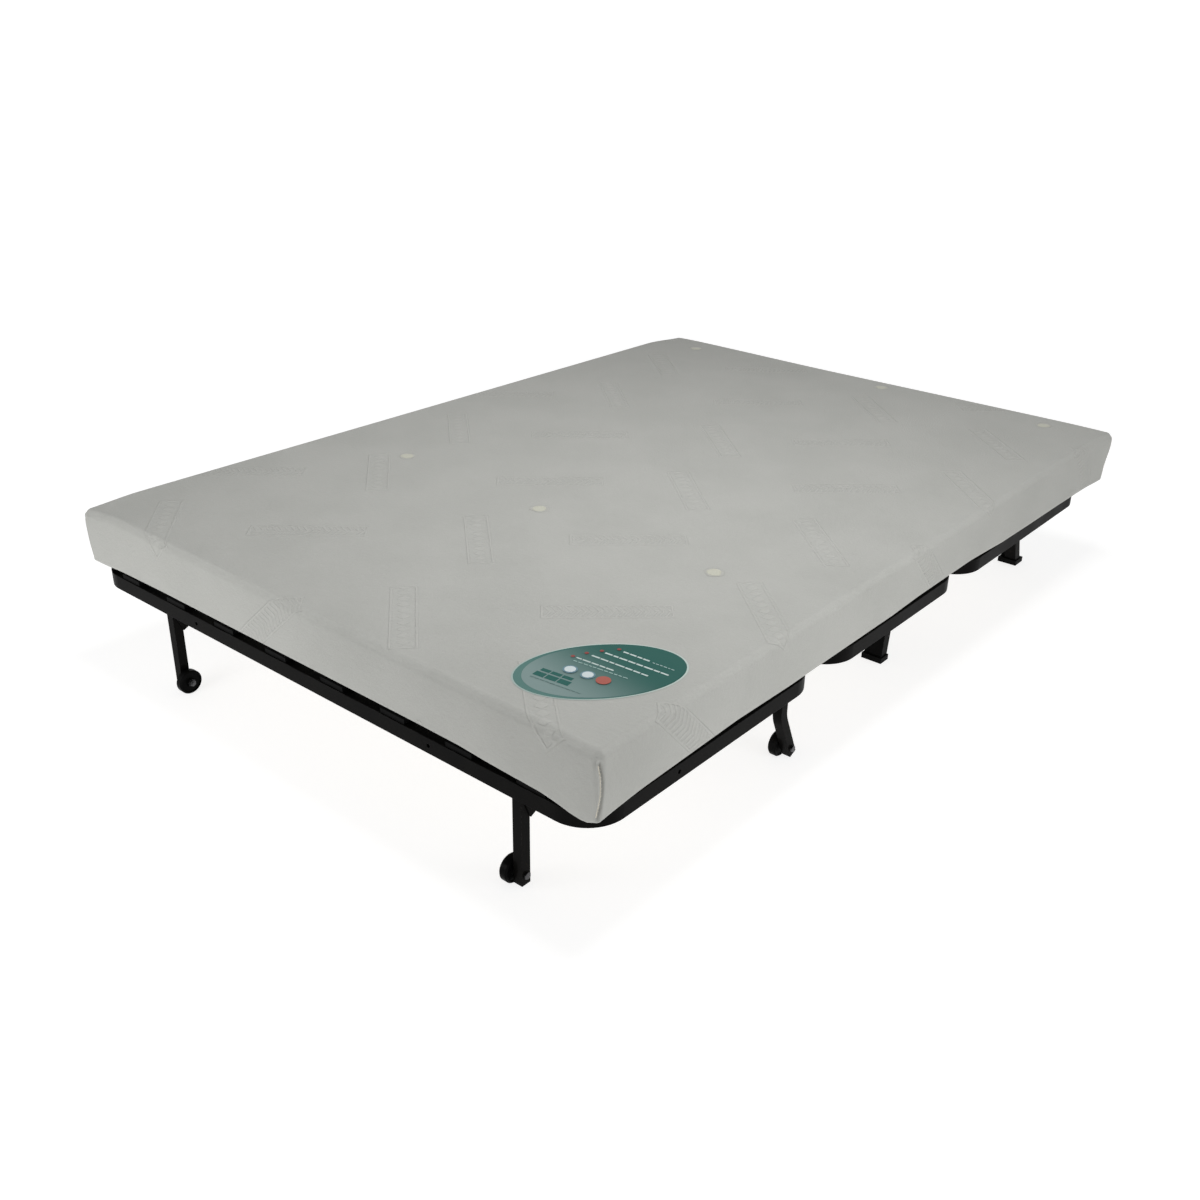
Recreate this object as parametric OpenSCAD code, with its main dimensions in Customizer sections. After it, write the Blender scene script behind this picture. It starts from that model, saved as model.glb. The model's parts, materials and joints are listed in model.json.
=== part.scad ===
// Folding guest bed: a slatted steel tube base in three sections with a one-piece foam mattress.
// The middle section folds up from the wheeled front section and the rear section folds back behind it.
// Millimetres. The floor is z = 0, the head end is +Y, the wheeled front end is -Y.

/* [Mattress] */
// width of the mattress, side to side
mattress_w = 1400; // [1390:2:1440]
// length of the mattress, end to end
mattress_l = 2000; // [1990:10:2040]
// thickness of the mattress
mattress_t = 119; // [90:1:125]
// radius of the mattress's upright corners
mattress_corner_r = 42; // [30:1:60]
// radius of the mattress's long edges
mattress_edge_r = 20; // [10:1:30]

/* [Frame] */
// height of the underside of the rails above the floor
rail_z = 214; // [210:1:218]
// height of the rail tube
rail_h = 30; // [28:1:32]
// width of the rail tube
rail_w = 22; // [20:1:24]
// wall thickness of every steel tube
tube_wall = 1.5; // [1.2:0.1:2]
// overall width of the steel frame
frame_w = 1374; // [1360:2:1380]
// outer bend radius of the frame's corners
corner_r = 75; // [60:1:80]
// length of the front section
front_len = 646; // [630:1:650]
// length of the middle section
middle_len = 533; // [520:1:540]
// length of the rear section
rear_len = 665; // [650:1:670]
// gap between the front and middle sections
fold_gap = 44; // [42:1:48]
// gap between the middle and rear sections
back_gap = 19; // [18:1:22]

/* [Slats] */
// width of one slat
slat_w = 53; // [45:1:55]
// thickness of one slat
slat_t = 8; // [7:0.5:8]
// distance between the centre lines of neighbouring slats
slat_pitch = 160; // [150:1:160]
// length of a slat holder along the slat
holder_d = 34; // [30:1:40]
// width of a slat holder
holder_w = 60; // [58:1:70]
// diameter of the edge rods beside the slats
edge_rod_d = 10; // [8:1:10]

/* [Wheeled legs] */
// side of the square leg tube
leg_s = 20; // [18:1:22]
// distance from the centre of the bed to each front leg
front_leg_x = 494; // [480:1:500]
// distance from the front face of the frame to the middle of each front leg
front_leg_in = 48; // [46:1:50]
// distance from the centre of the bed to each cranked leg
crank_leg_x = 615; // [614:1:617]
// height of the bend in a cranked leg
crank_bend_z = 112; // [107:1:117]
// lean of the lower part of a cranked leg, in degrees
crank_lean = 24.8; // [20:0.1:28]
// radius of a wheel
wheel_r = 26; // [25:1:27]
// width of a wheel
wheel_w = 20; // [18:1:22]
// radius of a wheel axle bolt
axle_r = 4; // [3:0.5:5]

/* [Folding support legs] */
// distance from the centre of the bed to the middle of each support post
post_x = 547; // [545:1:549]
// width of a support post across the bed
post_w = 30; // [28:1:30]
// depth of a support post along the bed
post_d = 25; // [23:1:25]
// width of a foot block
foot_w = 50; // [46:1:56]
// thickness of a foot block
foot_h = 13; // [11:1:15]
// depth of an inner foot block
inner_foot_d = 33; // [28:1:35]
// depth of an outer foot block
outer_foot_d = 43; // [38:1:46]
// distance from the pivot of the inner support legs to their foot, along the bed
inner_splay = 24.5; // [18:0.5:30]
// distance from the pivot of the outer support legs to their foot, along the bed
outer_splay = 83.5; // [75:0.5:85]
// radius of every hinge pin
pin_r = 4; // [3.5:0.5:4.5]

/* [Rail holes] */
// distance from the centre of the bed to each hole in the front rail
rail_hole_x = 330; // [300:1:360]
// radius of the holes in the rails
rail_hole_r = 4; // [3:0.5:5]

/* [Hidden] */
$fn = 48;
e = 0.01;
steel = [0.05, 0.05, 0.055];
zinc = [0.62, 0.63, 0.65];
plastic = [0.07, 0.07, 0.075];
birch = [0.78, 0.66, 0.48];
foam = [0.86, 0.85, 0.82];
sides = [-1, 1];
slat_count = 8;
rail_mid = rail_z + rail_h / 2;
rail_top = rail_z + rail_h;
half_w = frame_w / 2;
front_y0 = -mattress_l / 2;
front_y1 = front_y0 + front_len;
middle_y0 = front_y1 + fold_gap;
middle_y1 = middle_y0 + middle_len;
rear_y0 = middle_y1 + back_gap;
rear_y1 = rear_y0 + rear_len;
slat_skin = 1;
holder_h = 10;
slat_z = rail_top + slat_skin;
mattress_z = rail_top + holder_h;
mattress_top = mattress_z + mattress_t;
slat_end_in = 8;
slat_play = 0.1;
holder_lip = 2;
rod_end_in = 12;
rod_x = 644;
// hinges
fold_y = front_y1 + fold_gap / 2;
fold_z = rail_mid;
fold_max = 85;
back_y = middle_y1 + back_gap / 2;
back_drop = 10;
back_z = rail_z - back_drop;
hinge_x = 588;
ear_t = 4;
tongue_t = 7;
ear_gap = 8;
foot_lip = 3;
foot_web_t = 14;
foot_web_h = 22;
foot_web_tip = 4;
fold_ear_r = 13;
back_ear_r = 9;
ear_root = 2;
run = 0.05;
hold = 0.2;
rivet_r = 6.5;
rivet_t = 2.5;
// wheeled legs
front_leg_y = front_y0 + front_leg_in;
crank_leg_y = front_y1 - leg_s / 2;
crank_end_z = 12.6;
crank_end_y = crank_leg_y + (crank_bend_z - crank_end_z) * tan(crank_lean);
crank_wheel_y = crank_leg_y + (crank_bend_z - wheel_r) * tan(crank_lean);
bend_r = 60;
bend_steps = 8;
leg_foot_z = 11;
leg_top_in = 3;
leg_bolt_r = 3;
leg_bolt_z = [4, 22];
cap_t = 4;
cap_play = 0.2;
plug_h = 7;
bracket_t = 3;
bracket_front_h = 24;
bracket_back_h = 74;
bracket_back_d = 28;
spacer_t = 1;
head_r = 7;
head_t = 4.5;
thread_out = 2;
hub_r = 9;
hub_step = 1;
wheel_web_in = 3.5;
tread_t = 5;
tread_bevel_r = 2.5;
tread_bevel_w = 4;
// support legs
inner_ear_len = 15;
inner_y = middle_y1 - rail_w - inner_ear_len;
inner_lean = atan(inner_splay / rail_mid);
cross_in = 73;
cross_y = rear_y1 - cross_in;
cross_w = 22;
cross_h = 25;
outer_ear_len = 22;
outer_y = cross_y - outer_ear_len;
outer_lean = atan(outer_splay / rail_mid);
support_len = 260;
brace_s = 20;
brace_drop = 80;
plate_gap = 1;
plate_t = 3;
inner_ear_r = 12;
outer_ear_r = 9.5;
cut_play = 5;
seam_play = 2;
fold_gap_play = 1;

// ---------- helpers ----------
module round_rect(x0, y0, x1, y1, r) {
  translate([x0 + r, y0]) square([x1 - x0 - 2 * r, y1 - y0]);
  translate([x0, y0 + r]) square([x1 - x0, y1 - y0 - 2 * r]);
  for (x = [x0 + r, x1 - r], y = [y0 + r, y1 - r]) {
    translate([x, y]) circle(r = r, $fn = 96);
  }
}

module slab(y0, y1, inset, z0, z1) {
  translate([0, 0, z0])
    linear_extrude(height = z1 - z0)
      round_rect(-half_w + inset, y0 + inset, half_w - inset, y1 - inset, corner_r - inset);
}

// A bent rectangular tube closed into a loop.
module tube_loop(y0, y1) {
  difference() {
    slab(y0, y1, 0, rail_z, rail_top);
    slab(y0, y1, rail_w, rail_z - 1, rail_top + 1);
    difference() {
      slab(y0, y1, tube_wall, rail_z + tube_wall, rail_top - tube_wall);
      slab(y0, y1, rail_w - tube_wall, rail_z, rail_top);
    }
  }
}

module along_x(x0, x1) {
  translate([x0, 0, 0])
    rotate([90, 0, 90])
      linear_extrude(height = x1 - x0)
        children();
}

module rod_x_at(x0, x1, y, z, r) {
  translate([x0, y, z]) rotate([0, 90, 0]) cylinder(r = r, h = x1 - x0);
}

module slats(y0, y1) {
  for (i = [0:slat_count - 1]) {
    x = (i - (slat_count - 1) / 2) * slat_pitch;
    translate([x - slat_w / 2, y0 + slat_end_in, slat_z])
      cube([slat_w, y1 - y0 - 2 * slat_end_in, slat_t]);
  }
}

module holder(x, y, turn) {
  translate([x, y, rail_top])
    rotate([0, 0, turn])
      difference() {
        translate([-holder_w / 2, holder_lip, 0]) cube([holder_w, holder_d, holder_h]);
        translate([-slat_w / 2 - slat_play, slat_end_in - slat_play, slat_skin - slat_play])
          cube([slat_w + 2 * slat_play, holder_d, slat_t + 2 * slat_play]);
      }
}

module slat_holders(y0, y1) {
  for (i = [0:slat_count - 1]) {
    x = (i - (slat_count - 1) / 2) * slat_pitch;
    holder(x, y0, 0);
    holder(x, y1, 180);
  }
}

module edge_rods(y0, y1) {
  for (s = sides) {
    translate([s * rod_x, y0 + rod_end_in, rail_top + edge_rod_d / 2])
      rotate([-90, 0, 0])
        cylinder(d = edge_rod_d, h = y1 - y0 - 2 * rod_end_in);
  }
}

// A hinge pin with a riveted head at each end.
module hinge_pin(x, half, y, z) {
  rod_x_at(x - half, x + half, y, z, pin_r);
  rod_x_at(x - half - rivet_t, x - half, y, z, rivet_r);
  rod_x_at(x + half, x + half + rivet_t, y, z, rivet_r);
}

module ear_plate(y_root, y_pin, z_pin, r, z_lo, z_hi, hole) {
  difference() {
    union() {
      translate([min(y_root, y_pin), z_lo]) square([abs(y_pin - y_root), z_hi - z_lo]);
      translate([y_pin, z_pin]) circle(r = r);
    }
    translate([y_pin, z_pin]) circle(r = hole);
  }
}

module clevis(y_root, y_pin, z_pin, r, z_lo, z_hi) {
  for (s = sides, k = sides) {
    x = s * hinge_x + k * (ear_gap / 2 + ear_t / 2);
    along_x(x - ear_t / 2, x + ear_t / 2)
      ear_plate(y_root, y_pin, z_pin, r, z_lo, z_hi, pin_r + hold);
  }
}

module tongue(y_root, y_pin, z_pin, r, z_lo, z_hi) {
  for (s = sides) {
    x = s * hinge_x;
    along_x(x - tongue_t / 2, x + tongue_t / 2)
      ear_plate(y_root, y_pin, z_pin, r, z_lo, z_hi, pin_r + run);
  }
}

module post_brackets(y_root, y_pin, r) {
  for (s = sides, k = sides) {
    x = s * post_x + k * (post_w / 2 + plate_gap + plate_t / 2);
    along_x(x - plate_t / 2, x + plate_t / 2)
      ear_plate(y_root, y_pin, rail_mid, r, rail_mid - r, rail_mid + r, pin_r + hold);
  }
}

module post_pins(y_pin) {
  half = post_w / 2 + plate_gap + plate_t;
  for (s = sides) {
    hinge_pin(s * post_x, half, y_pin, rail_mid);
  }
}

// A pair of square posts joined by a brace; lean is positive with the feet towards the front.
module support_leg(y_pin, lean) {
  translate([0, y_pin, rail_mid])
    rotate([-lean, 0, 0]) {
      for (s = sides) {
        difference() {
          union() {
            translate([s * post_x - post_w / 2, -post_d / 2, -support_len])
              cube([post_w, post_d, support_len]);
            rod_x_at(s * post_x - post_w / 2, s * post_x + post_w / 2, 0, 0, post_d / 2);
          }
          translate([s * post_x - post_w / 2 + tube_wall, -post_d / 2 + tube_wall, -support_len - 1])
            cube([post_w - 2 * tube_wall, post_d - 2 * tube_wall, support_len - post_d]);
          rod_x_at(s * post_x - post_w, s * post_x + post_w, 0, 0, pin_r + run);
        }
      }
      difference() {
        translate([-post_x + post_w / 2 - e, -brace_s / 2, -brace_drop - brace_s / 2])
          cube([2 * post_x - post_w + 2 * e, brace_s, brace_s]);
        translate([-post_x, -brace_s / 2 + tube_wall, -brace_drop - brace_s / 2 + tube_wall])
          cube([2 * post_x, brace_s - 2 * tube_wall, brace_s - 2 * tube_wall]);
      }
    }
}

module support_cut(y_pin, lean) {
  difference() {
    support_leg(y_pin, lean);
    translate([-half_w, y_pin - support_len, -support_len])
      cube([2 * half_w, 2 * support_len, support_len + foot_h]);
  }
}

// Moulded feet: a block with a sloping web up the inner side of the post.
module foot_blocks(y, d) {
  inner_x = post_x + post_w / 2 + foot_lip - foot_w;
  for (s = sides) {
    mirror([s > 0 ? 0 : 1, 0, 0]) {
      translate([inner_x, y - d / 2, 0]) cube([foot_w, d, foot_h]);
      translate([0, y + foot_web_t / 2, 0])
        rotate([90, 0, 0])
          linear_extrude(height = foot_web_t)
            polygon([
              [inner_x, foot_h - e],
              [post_x - post_w / 2, foot_h - e],
              [post_x - post_w / 2, foot_h + foot_web_h],
              [post_x - post_w / 2 - foot_web_tip, foot_h + foot_web_h]
            ]);
    }
  }
}

module wheel(x, y) {
  half = wheel_w / 2;
  web = half - wheel_web_in;
  side = half - hub_step;
  inner_r = wheel_r - tread_t;
  translate([x, y, wheel_r])
    rotate([0, 90, 0])
      rotate_extrude($fn = 96)
        polygon([
          [axle_r + run, -half],
          [hub_r, -half],
          [hub_r + hub_step, -web],
          [inner_r, -web],
          [inner_r + hub_step, -side],
          [wheel_r - tread_bevel_r, -side],
          [wheel_r, tread_bevel_w - half],
          [wheel_r, half - tread_bevel_w],
          [wheel_r - tread_bevel_r, side],
          [inner_r + hub_step, side],
          [inner_r, web],
          [hub_r + hub_step, web],
          [hub_r, half],
          [axle_r + run, half]
        ]);
}

function wheel_x(leg_x) = leg_x - leg_s / 2 - spacer_t - wheel_w / 2;

// An axle bolt: hexagon head outside the leg, nut inside the wheel.
module axle(s, leg_x, y) {
  outer = leg_x + leg_s / 2;
  inner = wheel_x(leg_x) - wheel_w / 2 - spacer_t;
  x0 = s > 0 ? inner - head_t - thread_out : -outer;
  x1 = s > 0 ? outer : -inner + head_t + thread_out;
  xh = s > 0 ? outer : -outer - head_t;
  xn = s > 0 ? inner - head_t : -inner;
  rod_x_at(x0, x1, y, wheel_r, axle_r);
  translate([xh, y, wheel_r]) rotate([0, 90, 0]) cylinder(r = head_r, h = head_t, $fn = 6);
  translate([xn, y, wheel_r]) rotate([0, 90, 0]) cylinder(r = head_r, h = head_t, $fn = 6);
}

module axle_washers(s, leg_x, y) {
  ring_r = 7.5;
  outer_x = leg_x - leg_s / 2 - spacer_t;
  inner_x = wheel_x(leg_x) - wheel_w / 2 - spacer_t;
  for (x = [outer_x, inner_x]) {
    x0 = s > 0 ? x : -x - spacer_t;
    difference() {
      rod_x_at(x0 + e, x0 + spacer_t - e, y, wheel_r, ring_r);
      rod_x_at(x0 - 1, x0 + spacer_t + 1, y, wheel_r, axle_r + hold);
    }
  }
}

module front_leg(s) {
  x = s * front_leg_x;
  y = front_leg_y;
  inner = leg_s - 2 * tube_wall;
  difference() {
    translate([x - leg_s / 2, y - leg_s / 2, leg_foot_z])
      cube([leg_s, leg_s, rail_top - leg_foot_z - leg_top_in]);
    translate([x - inner / 2, y - inner / 2, 0]) cube([inner, inner, rail_top + 1]);
    rod_x_at(x - leg_s, x + leg_s, y, wheel_r, axle_r + hold);
    for (z = leg_bolt_z) {
      rod_x_at(x - leg_s, x + leg_s, y, rail_z + z, leg_bolt_r);
    }
  }
}

// Points on one side of the cranked leg's bend, at the given offset from its centre line.
function bend_points(off) = [
  for (i = [0:bend_steps])
    let (t = crank_lean * i / bend_steps)
      [
        crank_leg_y + bend_r - (bend_r + off) * cos(t),
        crank_bend_z + bend_r * tan(crank_lean / 2) - (bend_r + off) * sin(t)
      ]
];

// Outline of the cranked leg seen from the side, h each side of its centre line.
module crank_outline(h, z_top, z_low) {
  a = crank_lean;
  ey = crank_leg_y + (crank_bend_z - z_low) * tan(a);
  inner_bend = bend_points(-h);
  polygon(concat(
    [[crank_leg_y + h, z_top], [crank_leg_y - h, z_top]],
    bend_points(h),
    [[ey - h * cos(a), z_low - h * sin(a)], [ey + h * cos(a), z_low + h * sin(a)]],
    [for (i = [bend_steps:-1:0]) inner_bend[i]]
  ));
}

module crank_leg(s) {
  x = s * crank_leg_x;
  in_h = leg_s / 2 - tube_wall;
  difference() {
    along_x(x - leg_s / 2, x + leg_s / 2) crank_outline(leg_s / 2, rail_z, crank_end_z);
    along_x(x - in_h, x + in_h) crank_outline(in_h, rail_z + 1, crank_end_z - 1);
    rod_x_at(x - leg_s, x + leg_s, crank_wheel_y, wheel_r, axle_r + hold);
  }
}

module foam_body() {
  x = mattress_w / 2;
  y = mattress_l / 2;
  intersection() {
    translate([0, 0, mattress_z])
      linear_extrude(height = mattress_t) round_rect(-x, -y, x, y, mattress_corner_r);
    translate([0, y, 0])
      rotate([90, 0, 0])
        linear_extrude(height = 2 * y)
          round_rect(-x, mattress_z, x, mattress_top, mattress_edge_r);
    along_x(-x, x) round_rect(-y, mattress_z, y, mattress_top, mattress_edge_r);
  }
}

// ---------- front section ----------
module front_frame() {
  color(steel)
    difference() {
      tube_loop(front_y0, front_y1);
      for (s = sides) {
        translate([s * rail_hole_x, front_y0 - 1, rail_mid])
          rotate([-90, 0, 0]) cylinder(r = rail_hole_r, h = rail_w + 2);
        rod_x_at(s * (half_w - rail_w / 2) - rail_w, s * (half_w - rail_w / 2) + rail_w,
          front_y0 + front_len / 3, rail_mid, rail_hole_r);
      }
    }
}

module front_slats() {
  color(birch) slats(front_y0, front_y1);
}

module front_slat_holders() {
  color(plastic) slat_holders(front_y0, front_y1);
}

module front_edge_rods() {
  color(steel) edge_rods(front_y0, front_y1);
}

module front_leg_left() {
  color(steel) front_leg(-1);
}

module front_leg_right() {
  color(steel) front_leg(1);
}

// Pressed side plates that carry each front leg on the back of the front rail, with two bolts each.
module front_leg_brackets() {
  y0 = front_y0 + rail_w;
  y1 = front_leg_y + leg_s / 2;
  color(steel)
    for (s = sides, k = sides) {
      x = s * front_leg_x + k * (leg_s / 2 + bracket_t / 2);
      along_x(x - bracket_t / 2, x + bracket_t / 2)
        polygon([
          [y0, rail_top - leg_top_in],
          [y0, rail_z],
          [y1 - leg_s, rail_z - bracket_front_h],
          [y1, rail_z - bracket_back_h],
          [y1 + bracket_back_d / 2, rail_z - bracket_back_h + bracket_back_d / 4],
          [y1 + bracket_back_d, rail_z],
          [y1 + bracket_back_d, rail_top - leg_top_in]
        ]);
    }
}

module crank_leg_left() {
  color(steel) crank_leg(-1);
}

module crank_leg_right() {
  color(steel) crank_leg(1);
}

// Plastic plugs that close the lower ends of the four wheeled legs.
module leg_end_caps() {
  inner = leg_s - 2 * tube_wall - cap_play;
  color(plastic)
    for (s = sides) {
      translate([s * front_leg_x - leg_s / 2, front_leg_y - leg_s / 2, leg_foot_z - cap_t])
        cube([leg_s, leg_s, cap_t]);
      translate([s * front_leg_x - inner / 2, front_leg_y - inner / 2, leg_foot_z - e])
        cube([inner, inner, plug_h]);
      translate([s * crank_leg_x, crank_end_y, crank_end_z])
        rotate([crank_lean, 0, 0]) {
          translate([-leg_s / 2, -leg_s / 2, -cap_t / 2]) cube([leg_s, leg_s, cap_t / 2]);
          translate([-inner / 2, -inner / 2, -e]) cube([inner, inner, plug_h]);
        }
    }
}

module wheel_axles() {
  color(zinc)
    for (s = sides) {
      axle(s, front_leg_x, front_leg_y);
      axle(s, crank_leg_x, crank_wheel_y);
    }
}

module wheel_spacers() {
  color(zinc)
    for (s = sides) {
      axle_washers(s, front_leg_x, front_leg_y);
      axle_washers(s, crank_leg_x, crank_wheel_y);
    }
}

module fold_hinge_ears() {
  color(steel) clevis(front_y1, fold_y, fold_z, fold_ear_r, fold_z - fold_ear_r, fold_z + fold_ear_r);
}

module fold_hinge_pins() {
  color(zinc)
    for (s = sides) {
      hinge_pin(s * hinge_x, ear_gap / 2 + ear_t, fold_y, fold_z);
    }
}

// The foam is cut back on the bisector of the fold so that the two halves meet when folded.
module mattress_front() {
  b = fold_y - cut_play;
  t = tan(fold_max / 2);
  color(foam)
    intersection() {
      foam_body();
      along_x(-mattress_w, mattress_w)
        polygon([
          [-mattress_l, 0],
          [b, fold_z],
          [b - (mattress_top + 1 - fold_z) * t, mattress_top + 1],
          [-mattress_l, mattress_top + 1]
        ]);
    }
}

// The foam between the two cuts, which the fold squeezes.
module mattress_fold() {
  t = tan(fold_max / 2);
  b = cut_play - fold_gap_play;
  lo = (mattress_z - fold_z) * t + b;
  hi = (mattress_top + 1 - fold_z) * t + b;
  color(foam)
    intersection() {
      foam_body();
      along_x(-mattress_w, mattress_w)
        polygon([
          [fold_y - lo, mattress_z],
          [fold_y + lo, mattress_z],
          [fold_y + hi, mattress_top + 1],
          [fold_y - hi, mattress_top + 1]
        ]);
    }
}

// ---------- wheels ----------
module wheel_front_left() {
  color(plastic) wheel(-wheel_x(front_leg_x), front_leg_y);
}

module wheel_front_right() {
  color(plastic) wheel(wheel_x(front_leg_x), front_leg_y);
}

module wheel_rear_left() {
  color(plastic) wheel(-wheel_x(crank_leg_x), crank_wheel_y);
}

module wheel_rear_right() {
  color(plastic) wheel(wheel_x(crank_leg_x), crank_wheel_y);
}

// ---------- middle section ----------
module middle_frame() {
  color(steel) tube_loop(middle_y0, middle_y1);
}

module middle_slats() {
  color(birch) slats(middle_y0, middle_y1);
}

module middle_slat_holders() {
  color(plastic) slat_holders(middle_y0, middle_y1);
}

module middle_edge_rods() {
  color(steel) edge_rods(middle_y0, middle_y1);
}

module fold_hinge_tongues() {
  color(steel) tongue(middle_y0, fold_y, fold_z, fold_ear_r, fold_z - fold_ear_r, fold_z + fold_ear_r);
}

module back_hinge_ears() {
  color(steel) clevis(middle_y1 - rail_w + ear_root, back_y, back_z, back_ear_r, back_z - back_ear_r, rail_z);
}

module back_hinge_pins() {
  color(zinc)
    for (s = sides) {
      hinge_pin(s * hinge_x, ear_gap / 2 + ear_t, back_y, back_z);
    }
}

module inner_leg_brackets() {
  color(steel) post_brackets(middle_y1 - rail_w, inner_y, inner_ear_r);
}

module inner_leg_pins() {
  color(zinc) post_pins(inner_y);
}

module mattress_middle() {
  b = fold_y + cut_play;
  t = tan(fold_max / 2);
  color(foam)
    intersection() {
      foam_body();
      along_x(-mattress_w, mattress_w)
        polygon([
          [b, fold_z],
          [back_y - seam_play, fold_z],
          [back_y - seam_play, mattress_top + 1],
          [b + (mattress_top + 1 - fold_z) * t, mattress_top + 1]
        ]);
    }
}

// ---------- rear section ----------
module rear_frame() {
  color(steel) tube_loop(rear_y0, rear_y1);
}

// Its ends are notched to the inside of the rails.
module rear_cross_tube() {
  x = half_w - rail_w;
  color(steel)
    intersection() {
      difference() {
        translate([-x, cross_y, rail_top - cross_h]) cube([2 * x, cross_w, cross_h]);
        translate([-x - 1, cross_y + tube_wall, rail_top - cross_h + tube_wall])
          cube([2 * x + 2, cross_w - 2 * tube_wall, cross_h - 2 * tube_wall]);
      }
      slab(rear_y0, rear_y1, rail_w, rail_z, rail_top);
    }
}

module rear_slats() {
  color(birch) slats(rear_y0, rear_y1);
}

module rear_slat_holders() {
  color(plastic) slat_holders(rear_y0, rear_y1);
}

module rear_edge_rods() {
  color(steel) edge_rods(rear_y0, rear_y1);
}

module back_hinge_tongues() {
  color(steel) tongue(rear_y0 + rail_w - ear_root, back_y, back_z, back_ear_r, back_z - back_ear_r, rail_z);
}

module outer_leg_brackets() {
  color(steel) post_brackets(cross_y, outer_y, outer_ear_r);
}

module outer_leg_pins() {
  color(zinc) post_pins(outer_y);
}

module mattress_rear() {
  color(foam)
    intersection() {
      foam_body();
      translate([-mattress_w, back_y + seam_play, 0])
        cube([2 * mattress_w, mattress_l, 2 * mattress_top]);
    }
}

// ---------- folding support legs ----------
module inner_support_leg() {
  color(steel) support_cut(inner_y, inner_lean);
}

module inner_feet() {
  color(plastic) foot_blocks(inner_y - inner_splay, inner_foot_d);
}

module outer_support_leg() {
  color(steel) support_cut(outer_y, -outer_lean);
}

module outer_feet() {
  color(plastic) foot_blocks(outer_y + outer_splay, outer_foot_d);
}

front_frame();
front_slats();
front_slat_holders();
front_edge_rods();
front_leg_left();
front_leg_right();
front_leg_brackets();
crank_leg_left();
crank_leg_right();
leg_end_caps();
wheel_axles();
wheel_spacers();
fold_hinge_ears();
fold_hinge_pins();
mattress_front();
mattress_fold();
wheel_front_left();
wheel_front_right();
wheel_rear_left();
wheel_rear_right();
middle_frame();
middle_slats();
middle_slat_holders();
middle_edge_rods();
fold_hinge_tongues();
back_hinge_ears();
back_hinge_pins();
inner_leg_brackets();
inner_leg_pins();
mattress_middle();
rear_frame();
rear_cross_tube();
rear_slats();
rear_slat_holders();
rear_edge_rods();
back_hinge_tongues();
outer_leg_brackets();
outer_leg_pins();
mattress_rear();
inner_support_leg();
inner_feet();
outer_support_leg();
outer_feet();
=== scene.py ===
"""Folding guest bed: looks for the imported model. Metres, floor at z = 0, wheeled front end towards -Y."""

import json
import math
import random

import bpy
import numpy as np
from mathutils import Matrix, Vector


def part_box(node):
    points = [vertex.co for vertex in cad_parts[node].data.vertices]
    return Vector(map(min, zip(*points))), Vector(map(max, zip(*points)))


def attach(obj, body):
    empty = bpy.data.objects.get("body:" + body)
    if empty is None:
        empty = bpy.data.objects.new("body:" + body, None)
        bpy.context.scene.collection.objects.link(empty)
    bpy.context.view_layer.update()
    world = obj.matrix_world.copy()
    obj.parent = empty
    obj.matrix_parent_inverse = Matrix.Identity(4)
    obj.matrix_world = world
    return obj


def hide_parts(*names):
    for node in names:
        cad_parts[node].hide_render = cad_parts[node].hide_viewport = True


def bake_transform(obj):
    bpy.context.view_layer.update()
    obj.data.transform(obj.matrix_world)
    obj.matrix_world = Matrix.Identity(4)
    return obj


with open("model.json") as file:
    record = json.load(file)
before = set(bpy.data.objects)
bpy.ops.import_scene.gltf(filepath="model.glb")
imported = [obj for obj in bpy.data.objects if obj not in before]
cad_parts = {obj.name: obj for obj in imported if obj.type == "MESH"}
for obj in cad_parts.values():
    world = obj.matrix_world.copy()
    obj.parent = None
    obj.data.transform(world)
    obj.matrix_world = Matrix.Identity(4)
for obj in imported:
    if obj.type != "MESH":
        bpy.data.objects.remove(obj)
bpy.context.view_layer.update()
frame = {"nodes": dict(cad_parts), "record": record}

MM = 0.001
SEED = 11

# Camera, as a photographer would place it: standing off the front right corner, looking down.
CAMERA_AT = Vector((1.6698, -2.1639, 1.3553))
CAMERA_AZIMUTH = 39.1
CAMERA_DOWN = 26.1
CAMERA_ROLL = 1.4
CAMERA_LENS = 37.57
CAMERA_SHIFT = (-0.0142, 0.0030)
CAMERA_SENSOR = 36
SKY_LIGHT = 0.20
# Softboxes: name, place, aim, size, watts.
SOFTBOXES = [
    ("key", (0.4, -0.3, 2.50), (0.4, -0.29, 0.3), (1.2, 1.2), 46),
    ("low_left", (-0.42, -2.0, 0.50), (-0.42, -1.0, 0.3), (0.7, 0.5), 4.9),
    ("low_right", (1.7, -0.35, 0.50), (0.7, -0.35, 0.3), (0.7, 0.5), 3.6),
]
# Floor: flat radius, radius of the sweep, height of the wall behind it.
FLOOR_FLAT = 10
FLOOR_SWEEP = 4
FLOOR_WALL = 6.0
FLOOR_STEPS = 96
FLOOR_RINGS = (0.5, 2.0, 4.0, 7.0, FLOOR_FLAT)
FLOOR_GLOW = (0.79, 0.95)
FLOOR_GLOW_REACH = (1.5, 5.0)

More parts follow.
